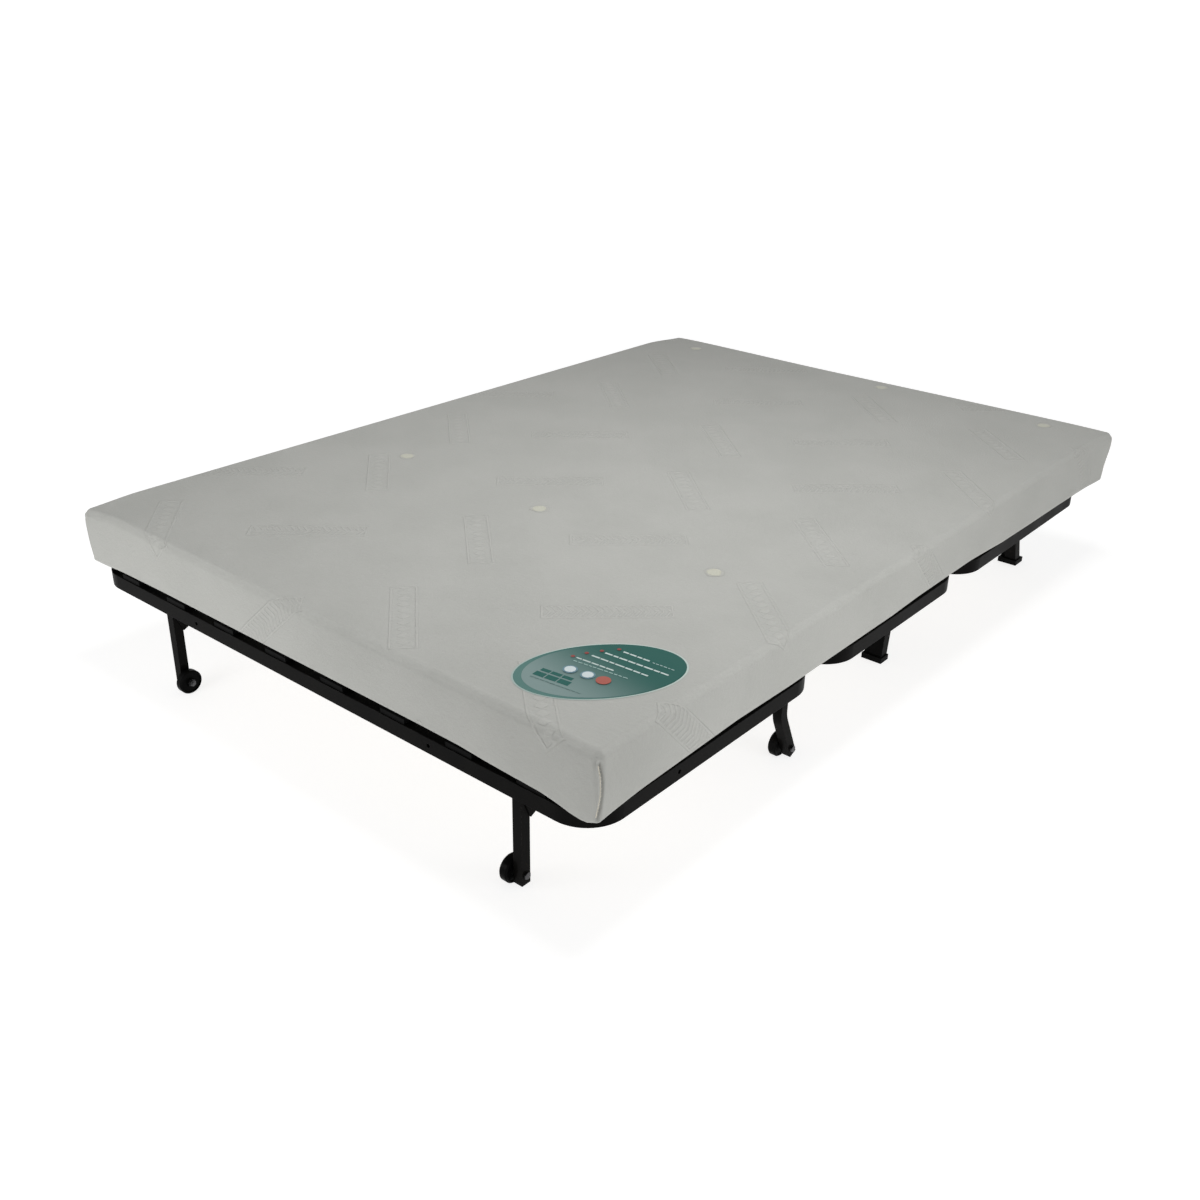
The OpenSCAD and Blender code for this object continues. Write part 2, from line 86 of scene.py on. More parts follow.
# Mattress form
FOAM_NODES = ["mattress_front", "mattress_fold", "mattress_middle", "mattress_rear"]
FOAM_LOW = Vector([min(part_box(n)[0][k] for n in FOAM_NODES) for k in range(3)])
FOAM_HIGH = Vector([max(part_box(n)[1][k] for n in FOAM_NODES) for k in range(3)])
CELL = 12 * MM
LAYER = 10 * MM
FOLD_ROW = 7.5 * MM
BACK_ROW = 4 * MM
EDGE_BAND = 24 * MM
EDGE_CELLS = 11
TOP_R = 15 * MM
BOTTOM_R = 15 * MM
CORNER_R = 7 * MM
CORNER_REACH = 120 * MM
SIDE_BULGE = 2.5 * MM
BULGE_REACH = 0.10
CROWN = 3.5 * MM
RIDGE = 1.3 * MM
LEFT_RISE = 2.5 * MM
REAR_FLARE = 7 * MM
CORNER_FLARE = 14 * MM
CORNER_DROOP = 10 * MM
REAR_CUT = 22 * MM
WAVE = 1.2 * MM
SEAM_DEPTH = 5.5 * MM
SEAM_W = 3.2 * MM
SEAM_BOW = 8 * MM
SEAM_BACK = 2 * MM
SEAM_LOW = 0.12
SEAM_SPAN = 0.75
PLEAT_DEPTH = 2.5 * MM
PLEAT_AT = 9 * MM
PLEAT_W = 2.2 * MM
PUFF = 5 * MM
PUFF_AT = 42 * MM
PUFF_W = 34 * MM
LOOSE_REACH = 0.5
FLARE_LEVEL = 0.78
FLARE_SPREAD = 0.42
BRIM_AT = 9 * MM
BRIM_W = 7 * MM
LIP_W = 18 * MM
THREAD_R = 0.8 * MM
STITCH_R = 0.3 * MM
# Drop of the lower edge along the front, the rear and each side: position in metres, drop in mm.
FRONT_HEM = [(-0.70, 1), (-0.62, 2.5), (-0.44, 0), (0.30, 0), (0.40, 1), (0.46, 5)]
FRONT_HEM += [(0.58, 10), (0.64, 16), (0.675, 17), (0.70, 8)]
REAR_HEM = [(0, 9), (0.45, 10), (0.7, 13)]
SIDE_HEM = [(-1.0, 4), (-0.88, 1), (-0.80, -1), (-0.64, -5), (-0.48, -1.5), (-0.10, -1.5)]
SIDE_HEM += [(0.0, -5), (0.24, -5.5), (0.32, -1.5), (0.40, 3.5), (0.56, 6), (0.72, 7.5)]
SIDE_HEM += [(0.88, 11), (1.0, 13)]
HEM_BLEND = 0.08


# ---------------------------------------------------------------- frame facts

def joint(name):
    return next(j for j in frame["record"]["behaviour"]["joints"] if j["name"] == name)


FOLD = Vector(joint("middle_fold")["pos_m"])
BACK = Vector(joint("rear_fold")["pos_m"])
SPLIT_Y = (FOLD.y + BACK.y) / 2
FOLD_REACH = 0.15
BACK_REACH = 0.10
BOTTOM_CHART = 3


# ---------------------------------------------------------------- camera, light, floor

def make_camera():
    data = bpy.data.cameras.new("camera")
    cam = bpy.data.objects.new("camera", data)
    bpy.context.scene.collection.objects.link(cam)
    az, down = math.radians(CAMERA_AZIMUTH), math.radians(CAMERA_DOWN)
    look = Vector((-math.sin(az) * math.cos(down), math.cos(az) * math.cos(down), -math.sin(down)))
    cam.rotation_mode = "QUATERNION"
    turn = look.to_track_quat("-Z", "Y")
    roll = Matrix.Rotation(math.radians(CAMERA_ROLL), 3, "Z").to_quaternion()
    cam.rotation_quaternion = turn @ roll
    cam.location = CAMERA_AT
    data.lens = CAMERA_LENS
    data.sensor_width = CAMERA_SENSOR
    data.shift_x, data.shift_y = CAMERA_SHIFT
    data.clip_end = 60
    bpy.context.scene.camera = cam


def area_light(name, at, aim, size, watts):
    data = bpy.data.lights.new(name, "AREA")
    data.shape = "RECTANGLE"
    data.size, data.size_y = size
    data.energy = watts
    lamp = bpy.data.objects.new(name, data)
    bpy.context.scene.collection.objects.link(lamp)
    lamp.location = at
    lamp.rotation_mode = "QUATERNION"
    lamp.rotation_quaternion = (Vector(aim) - Vector(at)).to_track_quat("-Z", "Y")
    lamp.visible_camera = False


def make_lights():
    """A softbox overhead, one low in front, a weaker one low on the right, and a dim sky.

    The sky reads full white to the camera alone.
    """
    world = bpy.data.worlds.new("studio")
    bpy.context.scene.world = world
    world.use_nodes = True
    sky = world.node_tree.nodes["Background"]
    sky.inputs["Color"].default_value = (1.0, 1.0, 1.0, 1)
    seen = world.node_tree.nodes.new("ShaderNodeLightPath").outputs["Is Camera Ray"]
    strength = world.node_tree.nodes.new("ShaderNodeMapRange")
    strength.inputs["To Min"].default_value = SKY_LIGHT
    world.node_tree.links.new(seen, strength.inputs["Value"])
    world.node_tree.links.new(strength.outputs["Result"], sky.inputs["Strength"])
    for box in SOFTBOXES:
        area_light(*box)
    view = bpy.context.scene.view_settings
    view.view_transform = "Standard"
    view.look = "None"


# ---------------------------------------------------------------- node helpers

class Shader:
    """A principled material and short calls to wire nodes into it."""

    def __init__(self, name, color, rough, **extra):
        self.mat = bpy.data.materials.new(name)
        self.mat.use_nodes = True
        self.tree = self.mat.node_tree
        self.bsdf = self.tree.nodes["Principled BSDF"]
        self.bsdf.inputs["Base Color"].default_value = (*color, 1)
        self.bsdf.inputs["Roughness"].default_value = rough
        for key, value in extra.items():
            self.bsdf.inputs[key.replace("_", " ")].default_value = value

    def node(self, kind, **settings):
        made = self.tree.nodes.new(kind)
        for key, value in settings.items():
            setattr(made, key, value)
        return made

    def put(self, socket, value):
        if hasattr(value, "links"):
            self.tree.links.new(value, socket)
        elif isinstance(value, (tuple, list)) and socket.type == "RGBA" and len(value) == 3:
            socket.default_value = (*value, 1)
        else:
            socket.default_value = value

    def math(self, operation, a, b=0.0, clamp=False):
        made = self.node("ShaderNodeMath", operation=operation, use_clamp=clamp)
        for socket, value in zip(made.inputs, (a, b)):
            self.put(socket, value)
        return made.outputs[0]

    def vec(self, operation, a, b=(0, 0, 0), c=(0, 0, 0)):
        made = self.node("ShaderNodeVectorMath", operation=operation)
        for socket, value in zip(made.inputs, (a, b, c)):
            self.put(socket, value)
        return made.outputs["Value"] if operation in ("LENGTH", "DOT_PRODUCT") else made.outputs["Vector"]

    def object_coords(self):
        return self.node("ShaderNodeTexCoord").outputs["Object"]

    def uv(self, name="cloth"):
        return self.node("ShaderNodeUVMap", uv_map=name).outputs["UV"]

    def xyz(self, vector):
        made = self.node("ShaderNodeSeparateXYZ")
        self.put(made.inputs[0], vector)
        return made.outputs

    def noise(self, vector, scale, detail=3.0, rough=0.5):
        made = self.node("ShaderNodeTexNoise")
        self.put(made.inputs["Vector"], vector)
        made.inputs["Scale"].default_value = scale
        made.inputs["Detail"].default_value = detail
        made.inputs["Roughness"].default_value = rough
        return made.outputs["Fac"]

    def ramp(self, value, low, high, to_low=0.0, to_high=1.0):
        made = self.node("ShaderNodeMapRange", interpolation_type="SMOOTHSTEP")
        self.put(made.inputs["Value"], value)
        ends = {"From Min": low, "From Max": high, "To Min": to_low, "To Max": to_high}
        for key, number in ends.items():
            made.inputs[key].default_value = number
        return made.outputs["Result"]

    def mix(self, share, a, b):
        made = self.node("ShaderNodeMix", data_type="RGBA")
        self.put(made.inputs["Factor"], share)
        self.put(made.inputs["A"], a)
        self.put(made.inputs["B"], b)
        return made.outputs["Result"]

    def bump(self, height, distance, strength=1.0, base=None):
        made = self.node("ShaderNodeBump")
        made.inputs["Strength"].default_value = strength
        made.inputs["Distance"].default_value = distance
        self.put(made.inputs["Height"], height)
        if base is not None:
            self.put(made.inputs["Normal"], base)
        return made.outputs["Normal"]

    def finish(self, color=None, rough=None, normal=None):
        for key, value in (("Base Color", color), ("Roughness", rough), ("Normal", normal)):
            if value is not None:
                self.put(self.bsdf.inputs[key], value)
        return self.mat


# ---------------------------------------------------------------- materials

# The jacquard repeats every TILE. Each woven bar has a centre in the tile and a turn, in metres and degrees.
TILE = (1.033, 0.82, 1.0)
BAR = (0.235, 0.050)
RIBBED_BARS = [(0.083, 0.353, 42), (0.443, 0.227, 42), (0.607, 0.760, 42), (0.943, 0.623, 42)]
BEADED_BARS = [(0.195, 0.058, -42), (0.287, 0.543, -42), (0.720, 0.427, -42), (0.865, 0.103, -42)]
TILE_CORNER = (-0.700, -1.000, 0.0)
BAR_RIM = 4.5 * MM
BAR_SOFT = 0.0013
RIB_PITCH = 0.0125
RIB_SLOPE = 0.55
BEAD_PITCH = (0.0235, 0.0300)
WALE_PITCH = 0.0021
COURSE_PITCH = 0.0017
KNIT_RELIEF = 0.35 * MM
CREPE_RELIEF = 1.6 * MM
FLECK_RELIEF = 0.5 * MM
BAR_RELIEF = 1.6 * MM

# Tones as linear red, green and blue. A pair is the two ends of a mottle.
TICKING_BASE = (0.36, 0.362, 0.342)
TICKING_BLOTCH = ((0.348, 0.351, 0.331), (0.372, 0.374, 0.354))
TICKING_FLECK = (0.295, 0.295, 0.278)
TICKING_SLUB = (0.41, 0.41, 0.39)
TICKING_BAR = (0.44, 0.44, 0.415)
STEEL_BASE = (0.003, 0.003, 0.003)
STEEL_GRIME = ((0.0022, 0.0021, 0.0020), (0.0045, 0.0042, 0.0038))
# Lighter tone on the steel's rounded edges: partly rubbed wear, partly a painted highlight where the edges
# would catch the light.
STEEL_WORN_AND_HIGHLIGHT = (0.055, 0.054, 0.052)
ZINC_BASE = (0.09, 0.09, 0.10)
ZINC_SPANGLE = ((0.06, 0.06, 0.065), (0.12, 0.12, 0.12))
PLASTIC_CLOUD = ((0.003, 0.003, 0.003), (0.006, 0.006, 0.006))
BIRCH_BASE = (0.55, 0.40, 0.24)
BIRCH_RINGS = ((0.46, 0.32, 0.18), (0.64, 0.48, 0.30))
BIRCH_PORES = (0.30, 0.20, 0.11)
THREAD_BASE = (0.60, 0.57, 0.48)
THREAD_TWIST = ((0.50, 0.47, 0.38), (0.66, 0.63, 0.55))
SATIN_SHEEN = (0.5, 0.5, 0.5)
FLOOR_BASE = (0.40, 0.40, 0.40)
FLOOR_CLOUD = ((0.396, 0.396, 0.396), (0.404, 0.404, 0.402))
TACK_RIM = ((0.31, 0.31, 0.285), (0.36, 0.36, 0.335))
TACK_CORE = ((0.385, 0.386, 0.320), (0.435, 0.432, 0.365))


def woven_bar(s, uv, cx, cy, turn, beaded):
    """Height of one woven bar: a fine outline round either ribs or beads."""
    away = s.vec("SUBTRACT", uv, (cx + TILE_CORNER[0], cy + TILE_CORNER[1], 0))
    half = tuple(t / 2 for t in TILE)
    away = s.vec("WRAP", away, half, tuple(-h for h in half))
    spin = s.node("ShaderNodeVectorRotate", rotation_type="Z_AXIS")
    s.put(spin.inputs["Vector"], away)
    spin.inputs["Angle"].default_value = -math.radians(turn)
    x, y, _ = s.xyz(spin.outputs[0])
    ax, ay = s.math("ABSOLUTE", x), s.math("ABSOLUTE", y)
    edge = s.math("MAXIMUM", s.math("SUBTRACT", ax, BAR[0] / 2), s.math("SUBTRACT", ay, BAR[1] / 2))
    inside = s.ramp(edge, -BAR_SOFT, BAR_SOFT, 1.0, 0.0)
    core = s.ramp(edge, -BAR_RIM - BAR_SOFT, -BAR_RIM + BAR_SOFT, 1.0, 0.0)
    if beaded:
        along = s.math("COSINE", s.math("MULTIPLY", x, 2 * math.pi / BEAD_PITCH[0]))
        across = s.math("COSINE", s.math("MULTIPLY", y, 2 * math.pi / BEAD_PITCH[1]))
        fill = s.math("ADD", along, across)
    else:
        herring = s.math("ADD", x, s.math("MULTIPLY", ay, RIB_SLOPE))
        fill = s.math("COSINE", s.math("MULTIPLY", herring, 2 * math.pi / RIB_PITCH))
    outline = s.math("SUBTRACT", inside, core)
    return s.math("ADD", outline, s.math("MULTIPLY", core, s.ramp(fill, -0.1, 0.7, 0.0, 0.8)))


def knit_height(s, uv):
    """Fine wales and courses of the stretch knit."""
    x, y, _ = s.xyz(uv)
    wale = s.math("SINE", s.math("MULTIPLY", x, 2 * math.pi / WALE_PITCH))
    course = s.math("SINE", s.math("MULTIPLY", y, 2 * math.pi / COURSE_PITCH))
    return s.math("MULTIPLY", wale, course)


def ticking_material():
    s = Shader("ticking_knit", TICKING_BASE, 0.93, Sheen_Weight=0.12, Sheen_Roughness=0.45)
    s.bsdf.inputs["Sheen Tint"].default_value = (1.0, 0.99, 0.96, 1)
    s.bsdf.inputs["Specular IOR Level"].default_value = 0.2
    uv = s.uv()
    bars = None
    for table, beaded in ((RIBBED_BARS, False), (BEADED_BARS, True)):
        for cx, cy, turn in table:
            one = woven_bar(s, uv, cx, cy, turn, beaded)
            bars = one if bars is None else s.math("ADD", bars, one)
    blotch = s.noise(uv, 5.0, 4.0)
    fleck = s.noise(uv, 420.0, 2.0, 0.6)
    crepe = s.noise(uv, 130.0, 3.0, 0.55)
    slub = s.noise(s.vec("MULTIPLY", uv, (30, 260, 1)), 1.0, 3.0)
    tone = s.mix(s.ramp(blotch, 0.3, 0.7), *TICKING_BLOTCH)
    tone = s.mix(s.math("MULTIPLY", s.ramp(fleck, 0.35, 0.75), 0.30), tone, TICKING_FLECK)
    tone = s.mix(s.math("MULTIPLY", s.ramp(slub, 0.45, 0.8), 0.15), tone, TICKING_SLUB)
    tone = s.mix(s.math("MULTIPLY", bars, 0.20, clamp=True), tone, TICKING_BAR)
    normal = s.bump(knit_height(s, uv), KNIT_RELIEF, 0.35)
    normal = s.bump(crepe, CREPE_RELIEF, 0.65, normal)
    normal = s.bump(fleck, FLECK_RELIEF, 0.45, normal)
    normal = s.bump(bars, BAR_RELIEF, 0.8, normal)
    return s.finish(color=tone, normal=normal)


def powder_coat_material():
    s = Shader("black_powder_coat", STEEL_BASE, 0.38, Coat_Weight=0.04, Coat_Roughness=0.10)
    s.bsdf.inputs["Specular IOR Level"].default_value = 0.012
    at = s.object_coords()
    peel = s.noise(at, 700.0, 2.0)
    grime = s.noise(at, 9.0, 5.0, 0.6)
    scuff = s.noise(s.vec("MULTIPLY", at, (40, 400, 400)), 1.0, 4.0, 0.65)
    rounded = s.node("ShaderNodeBevel", samples=4)
    rounded.inputs["Radius"].default_value = 1.6 * MM
    flat = s.node("ShaderNodeNewGeometry").outputs["Normal"]
    edge = s.ramp(s.vec("DOT_PRODUCT", rounded.outputs["Normal"], flat), 0.985, 0.86)
    # Rounded edges, broken up by scuff noise, get a lighter colour: partly rubbed wear, partly a painted
    # highlight standing in for edge glints.
    worn_and_highlight = s.math("MULTIPLY", edge, s.ramp(scuff, 0.45, 0.72))
    tone = s.mix(s.ramp(grime, 0.35, 0.75), *STEEL_GRIME)
    tone = s.mix(worn_and_highlight, tone, STEEL_WORN_AND_HIGHLIGHT)
    rough = s.ramp(grime, 0.3, 0.7, 0.30, 0.44)
    normal = s.bump(peel, 0.12 * MM, 0.35, rounded.outputs["Normal"])
    return s.finish(color=tone, rough=rough, normal=normal)


def zinc_material():
    s = Shader("zinc_plate", ZINC_BASE, 0.38, Metallic=1.0)
    at = s.object_coords()
    spangle = s.noise(at, 260.0, 3.0, 0.6)
    tone = s.mix(s.ramp(spangle, 0.35, 0.7), *ZINC_SPANGLE)
    rough = s.ramp(spangle, 0.3, 0.75, 0.28, 0.46)
    return s.finish(color=tone, rough=rough, normal=s.bump(spangle, 0.08 * MM, 0.4))


def moulded_plastic_material(name, rough_low, rough_high):
    s = Shader(name, PLASTIC_CLOUD[0], rough_low)
    s.bsdf.inputs["Specular IOR Level"].default_value = 0.02
    at = s.object_coords()
    grain = s.noise(at, 900.0, 2.0, 0.6)
    cloud = s.noise(at, 14.0, 4.0)
    tone = s.mix(s.ramp(cloud, 0.35, 0.7), *PLASTIC_CLOUD)
    rough = s.ramp(cloud, 0.3, 0.7, rough_low, rough_high)
    return s.finish(color=tone, rough=rough, normal=s.bump(grain, 0.15 * MM, 0.5))


def birch_material():
    s = Shader("lacquered_birch", BIRCH_BASE, 0.42)
    s.bsdf.inputs["Coat Weight"].default_value = 0.25
    s.bsdf.inputs["Coat Roughness"].default_value = 0.3
    at = s.object_coords()
    rings = s.noise(s.vec("MULTIPLY", at, (26, 1.6, 40)), 1.0, 5.0, 0.6)
    pores = s.noise(s.vec("MULTIPLY", at, (700, 24, 700)), 1.0, 2.0)
    tone = s.mix(s.ramp(rings, 0.36, 0.66), *BIRCH_RINGS)
    tone = s.mix(s.math("MULTIPLY", s.ramp(pores, 0.55, 0.8), 0.5), tone, BIRCH_PORES)
    rough = s.ramp(rings, 0.3, 0.7, 0.36, 0.52)
    return s.finish(color=tone, rough=rough, normal=s.bump(pores, 0.1 * MM, 0.4))


def thread_material():
    s = Shader("seam_thread", THREAD_BASE, 0.85, Sheen_Weight=0.2)
    at = s.object_coords()
    twist = s.noise(s.vec("MULTIPLY", at, (900, 900, 300)), 1.0, 2.0)
    tone = s.mix(s.ramp(twist, 0.35, 0.7), *THREAD_TWIST)
    return s.finish(color=tone, normal=s.bump(twist, 0.3 * MM, 0.6))


def print_material(name, low, high, angle):
    """Ink on the woven label; the tone runs across the label along the given angle."""
    s = Shader(name, low, 0.55)
    s.bsdf.inputs["Specular IOR Level"].default_value = 0.12
    uv = s.uv("label")
    way = (math.cos(math.radians(angle)), math.sin(math.radians(angle)), 0)
    run = s.vec("DOT_PRODUCT", uv, way)
    satin = s.noise(s.vec("MULTIPLY", uv, (1400, 500, 1)), 1.0, 2.0)
    tone = s.mix(s.ramp(run, -0.11, 0.06), low, high)
    tone = s.mix(s.math("MULTIPLY", s.ramp(satin, 0.4, 0.8), 0.04), tone, SATIN_SHEEN)
    rough = s.ramp(satin, 0.3, 0.7, 0.48, 0.62)
    return s.finish(color=tone, rough=rough, normal=s.bump(satin, 0.08 * MM, 0.4))


def floor_material():
    """A lit white sweep: it stays near white and keeps only a faint shadow."""
    s = Shader("studio_floor", FLOOR_BASE, 0.8)
    s.bsdf.inputs["Specular IOR Level"].default_value = 0.0
    at = s.object_coords()
    cloud = s.noise(at, 0.8, 2.0)
    tone = s.mix(s.ramp(cloud, 0.3, 0.7), *FLOOR_CLOUD)
    s.bsdf.inputs["Emission Color"].default_value = (1, 1, 1, 1)
    away = s.vec("LENGTH", s.vec("MULTIPLY", at, (1, 1, 0)))
    s.put(s.bsdf.inputs["Emission Strength"], s.ramp(away, *FLOOR_GLOW_REACH, *FLOOR_GLOW))
    return s.finish(color=tone)


# ---------------------------------------------------------------- mesh helpers

def new_object(name, verts, faces, material, smooth=True):
    mesh = bpy.data.meshes.new(name)
    mesh.from_pydata([tuple(v) for v in verts], [], faces)
    mesh.validate()
    mesh.update()
    made = bpy.data.objects.new(name, mesh)
    bpy.context.scene.collection.objects.link(made)
    mesh.materials.append(material)
    mesh.polygons.foreach_set("use_smooth", [smooth] * len(mesh.polygons))
    return made


def tube(points, radius, sides):
    """A closed tube along a list of points, with flat ends."""
    pts = [Vector(p) for p in points]
    verts, faces = [], []
    for i, p in enumerate(pts):
        ahead = pts[min(i + 1, len(pts) - 1)] - pts[max(i - 1, 0)]
        ahead.normalize()
        ref = Vector((0, 0, 1)) if abs(ahead.z) < 0.9 else Vector((1, 0, 0))
        side = ahead.cross(ref).normalized()
        up = side.cross(ahead)
        for k in range(sides):
            a = 2 * math.pi * k / sides
            verts.append(p + side * (math.cos(a) * radius) + up * (math.sin(a) * radius))
    for i in range(len(pts) - 1):
        for k in range(sides):
            n = (k + 1) % sides
            low, high = i * sides, (i + 1) * sides
            faces.append((low + k, low + n, high + n, high + k))
    faces.append(tuple(range(sides - 1, -1, -1)))
    last = (len(pts) - 1) * sides
    faces.append(tuple(last + k for k in range(sides)))
    return verts, faces


def joined(parts):
    """Several (verts, faces) lists as one."""
    verts, faces = [], []
    for v, f in parts:
        base = len(verts)
        verts += list(v)
        faces += [tuple(base + i for i in face) for face in f]
    return verts, faces


# ---------------------------------------------------------------- mattress

def grid_line(low, high, cell=CELL, edge_low=True, edge_high=True):
    """Coordinates from low to high, closer together within a band at each rounded end."""
    start = np.linspace(low, low + EDGE_BAND, EDGE_CELLS + 1)[:-1] if edge_low else np.array([])
    end = np.linspace(high - EDGE_BAND, high, EDGE_CELLS + 1)[1:] if edge_high else np.array([])
    a = low + EDGE_BAND if edge_low else low
    b = high - EDGE_BAND if edge_high else high
    middle = np.linspace(a, b, max(2, int(round((b - a) / cell)) + 1))
    return np.concatenate([start, middle, end])


def length_line(low, high, bend, edge_low, edge_high):
    """Coordinates along the bed, with finer rows through the zone that bends."""
    first, last, step = bend
    rows = np.linspace(first, last, int(round((last - first) / step)) + 1)
    before = grid_line(low, first, edge_low=edge_low, edge_high=False)
    after = grid_line(last, high, edge_low=False, edge_high=edge_high)
    return np.concatenate([before[:-1], rows, after[1:]])


def smooth01(t):
    t = np.clip(t, 0, 1)
    return t * t * (3 - 2 * t)


def hem_drop(x, y):
    """Drop of the lower edge at each point, from the three hem profiles."""
    hx, hy = FOAM_HIGH.x, FOAM_HIGH.y
    front = np.interp(x, *np.array(FRONT_HEM).T) * MM
    rear = np.interp(np.abs(x), *np.array(REAR_HEM).T) * MM
    ends = np.where(y < 0, front, rear)
    side = np.interp(y, *np.array(SIDE_HEM).T) * MM
    to_side, to_end = hx - np.abs(x), hy - np.abs(y)
    share = smooth01(0.5 + (to_end - to_side) / HEM_BLEND)
    return ends + (side - ends) * share


def bell(x, middle, spread):
    return np.exp(-(((x - middle) / spread) ** 2))


def seam_line(level):
    """How far the corner seam bows round the corner at a share of the mattress's height."""
    return SEAM_BOW * np.sin(math.pi * np.clip((level - SEAM_LOW) / SEAM_SPAN, 0, 1)) - SEAM_BACK


def soft_waves(x, y):
    """Slow unevenness of the foam and its cover, about -1 to 1."""
    broad = 0.6 * np.sin(x * 5.1 + 0.7) * np.sin(y * 4.3 + 1.9)
    return broad + 0.4 * np.sin(x * 9.7 + y * 7.1)


def rounded_block(p, low, high, level, near_corner):
    """Rounds the block's edges: a soft top, and a lower edge that tightens at the corners."""
    r_low = BOTTOM_R + (CORNER_R - BOTTOM_R) * near_corner
    r = (r_low + (TOP_R - r_low) * smooth01((level - 0.3) / 0.4))[:, None]
    core = np.clip(p, low + r, high - r)
    off = p - core
    length = np.linalg.norm(off, axis=1)
    reach = np.abs(off).max(axis=1)
    scale = np.where(length > 1e-9, reach / np.maximum(length, 1e-9), 1.0)
    return core + off * scale[:, None]


def seam_dent(along, level, skin):
    """Depth of the corner seam's groove and of the small pleat at its top."""
    ends = smooth01(level / 0.1) * smooth01((0.90 - level) / 0.12)
    groove = bell(along, seam_line(level), SEAM_W) * ends
    pleat = bell(along, -PLEAT_AT, PLEAT_W) * bell(level, 0.85, 0.07)
    return np.where(skin, SEAM_DEPTH * groove + PLEAT_DEPTH * pleat, 0)


def lower_lip(px, py, high):
    """1 along the outer lower edge that follows the hem, 0 inside it."""
    inner_x, inner_y = high[0] - EDGE_BAND, high[1] - EDGE_BAND
    lip = np.maximum(smooth01((np.abs(px) - inner_x) / LIP_W), smooth01((np.abs(py) - inner_y) / LIP_W))
    return np.maximum(lip, smooth01((py - 0.90) / 0.12))


def foam_shape(p):
    """The used foam mattress from a plain block: soft edges, uneven hem, gathered corner seams."""
    low, high = np.array(FOAM_LOW), np.array(FOAM_HIGH)
    px, py = p[:, 0], p[:, 1]
    sx, sy = np.sign(px), np.sign(py)
    level = (p[:, 2] - low[2]) / (high[2] - low[2])
    to_side, to_end = high[0] - np.abs(px), high[1] - np.abs(py)
    near_corner = smooth01(1 - to_side / CORNER_REACH) * smooth01(1 - to_end / CORNER_REACH)
    x, y, z = rounded_block(p, low, high, level, near_corner).T

    wave = soft_waves(px, py)
    on_side = smooth01(1 - to_side / BULGE_REACH)
    on_end = smooth01(1 - to_end / BULGE_REACH)
    out = SIDE_BULGE * np.sin(math.pi * level) * (1 + 0.6 * wave) * (1 - near_corner)
    x = x + sx * on_side * out
    y = y + sy * on_end * out

    # Along the skin from each upright corner: positive on the long sides, negative on the ends.
    along = np.where(to_side <= to_end, to_end, -to_side)
    skin = (to_side < 1e-6) | (to_end < 1e-6)
    dent = 0.7 * seam_dent(along, level, skin)
    x = x - sx * dent
    y = y - sy * dent
    puff = PUFF * bell(along, -PUFF_AT, PUFF_W) * np.sin(math.pi * np.clip(level * 0.8 + 0.1, 0, 1))
    y = y + sy * np.where(along < 0, puff * on_end, 0)

    # The cover is pulled tightest at the front right corner, so the other corners stand out further.
    from_tight = np.hypot(px - high[0], py + high[1])
    loose = 1 - smooth01(1 - from_tight / LOOSE_REACH)
    flare = CORNER_FLARE * near_corner * bell(level, FLARE_LEVEL, FLARE_SPREAD) * loose
    x = x + sx * flare * np.where(sy < 0, 1.0, np.where(sx > 0, 0.8, 0.0))
    y = y + np.where(sy > 0, REAR_FLARE * on_end * smooth01((px + 0.3) / 0.9), 0)
    rear_left = smooth01(1 - to_side / 0.09) * smooth01(1 - to_end / 0.14)
    x = x + np.where((sx < 0) & (sy > 0), REAR_CUT * rear_left, 0)

    dome = (1 - (px / high[0]) ** 4) * (1 - (py / high[1]) ** 4)
    upper = smooth01((level - 0.5) * 2)
    brim = bell(np.minimum(to_side, to_end), BRIM_AT, BRIM_W)
    left = LEFT_RISE * smooth01((-px - 0.1) / 0.5)
    droop = np.where((sx < 0) & (sy < 0), CORNER_DROOP, 2 * MM) * near_corner
    z = z + upper * (CROWN * dome + WAVE * wave * dome + RIDGE * brim + left - droop)
    z = z - smooth01(1 - level * 1.3) * hem_drop(px, py) * lower_lip(px, py, high)
    return np.stack([x, y, z], axis=1)


def foam_top(x, y):
    """A point on the finished top of the mattress."""
    return foam_shape(np.array([[x, y, FOAM_HIGH.z]]))[0]


